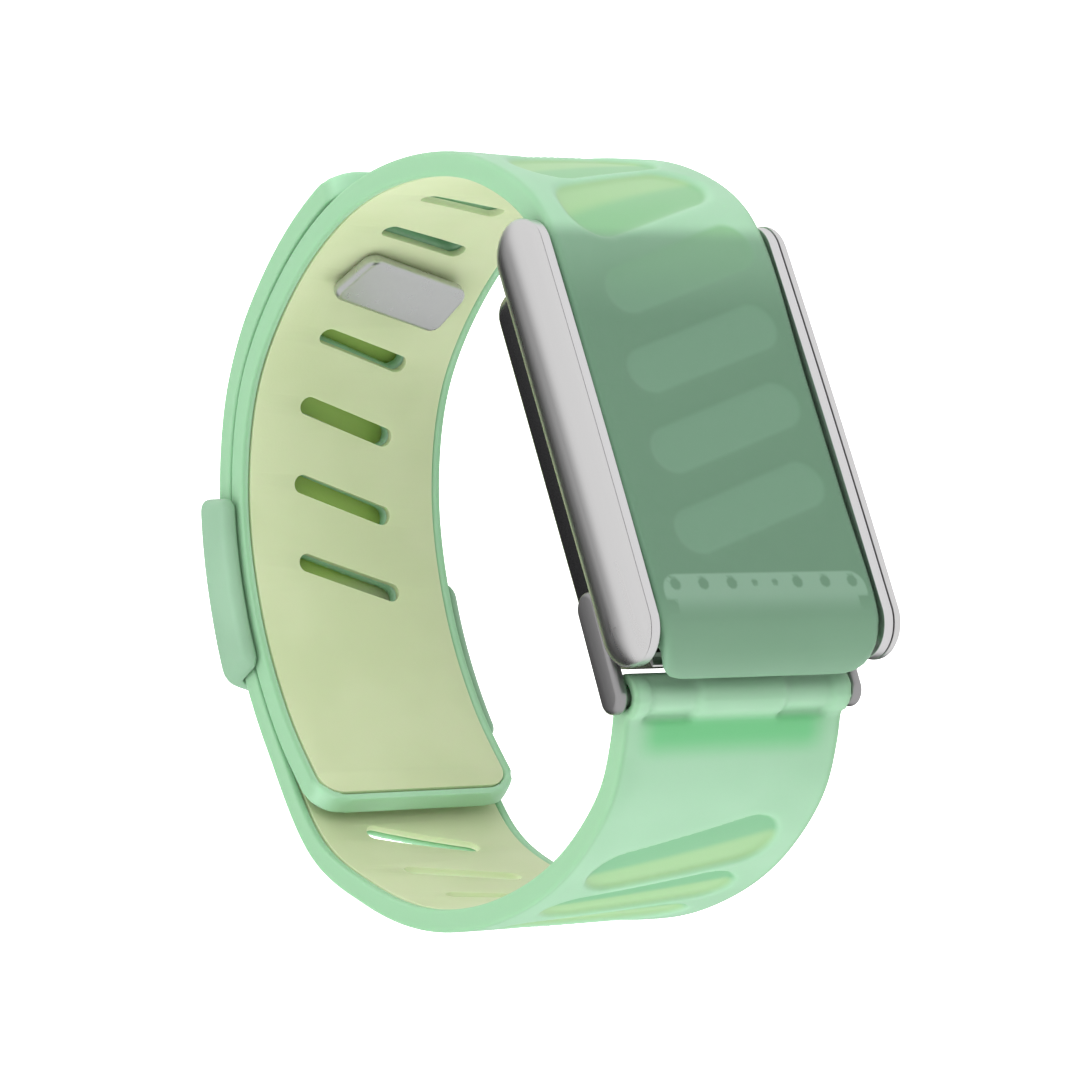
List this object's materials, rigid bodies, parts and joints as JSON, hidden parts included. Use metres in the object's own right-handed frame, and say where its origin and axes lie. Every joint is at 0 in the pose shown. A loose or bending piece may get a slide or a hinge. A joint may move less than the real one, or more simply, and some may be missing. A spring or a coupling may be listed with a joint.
{
  "type": "wrist activity tracker on a silicone band",
  "caption": "Screenless wrist tracker in a satin metal frame on a two-layer slotted silicone band, with a lifting cover strap and a stud and keeper closure.",
  "frame": {"origin": "middle of the opening that the wrist fills", "axes": "+X along the wrist, +Y from the latch towards the bend of the cover strap, +Z out of the tracker's face"},
  "size_m": [0.0284, 0.0757, 0.0708],
  "materials": {
    "mint_silicone": "translucent satin silicone",
    "cover_silicone": "translucent satin silicone over a black tracker",
    "lime_liner": "matte soft-touch silicone",
    "satin_steel": "fine satin",
    "dark_steel": "dark satin",
    "black_shell": "gloss",
    "sensor_glass": "polished",
    "seal": "matte",
    "foil": "satin foil",
    "board": "solder mask",
    "chip": "matte",
    "gold": "plated",
    "lamp": "clear"
  },
  "bodies": {
    "root": {"upper_strap": "mint_silicone", "upper_liner": "lime_liner", "strap_keeper": "mint_silicone", "lower_strap": "mint_silicone", "lower_liner": "lime_liner", "stud_head": "satin_steel", "stud_post": "satin_steel", "stud_plate": "satin_steel"},
    "cover": {"cover_strap": "cover_silicone", "latch_plate": "satin_steel"},
    "frame": {"side_rail_left": "satin_steel", "side_rail_right": "satin_steel", "rail_trim_left": "satin_steel", "rail_trim_right": "satin_steel", "hinge_arm_left": "dark_steel", "hinge_arm_right": "dark_steel", "bridge_latch_end": "dark_steel", "bridge_bend_end": "dark_steel", "strap_bar": "dark_steel"},
    "tracker": {"pod_top_shell": "black_shell", "pod_base_shell": "black_shell", "case_gasket": "seal", "sensor_window": "sensor_glass", "skin_contact_left": "satin_steel", "skin_contact_right": "satin_steel", "main_board": "board", "battery_cell": "foil", "processor_chip": "chip", "memory_chip": "chip", "vibration_motor": "satin_steel", "sensor_lamp_1": "lamp", "sensor_lamp_2": "lamp", "sensor_lamp_3": "lamp", "light_sensor_1": "chip", "light_sensor_2": "chip", "charge_pin_1": "gold", "charge_pin_2": "gold", "charge_pin_3": "gold"},
    "tail": {"tail_tip": "mint_silicone"}
  },
  "joints": [
    {"name": "cover_lift", "type": "hinge", "parent": "root", "child": "cover", "pos_m": [0, 0.02366, 0.03495], "axis": [-1, 0, 0], "range_deg": [0, 60], "stiffness_Nm_per_rad": 0.004},
    {"name": "frame_swing", "type": "hinge", "parent": "root", "child": "frame", "pos_m": [0, -0.0239, 0.0293], "axis": [-1, 0, 0], "range_deg": [0, 35]},
    {"name": "pod_eject", "type": "slide", "parent": "frame", "child": "tracker", "axis": [0, 0, -1], "range_m": [0, 0.012]},
    {"name": "tail_lift", "type": "hinge", "parent": "root", "child": "tail", "pos_m": [0, 0.0407, -0.00227], "axis": [-1, 0, 0], "range_deg": [0, 30], "stiffness_Nm_per_rad": 0.001}
  ]
}
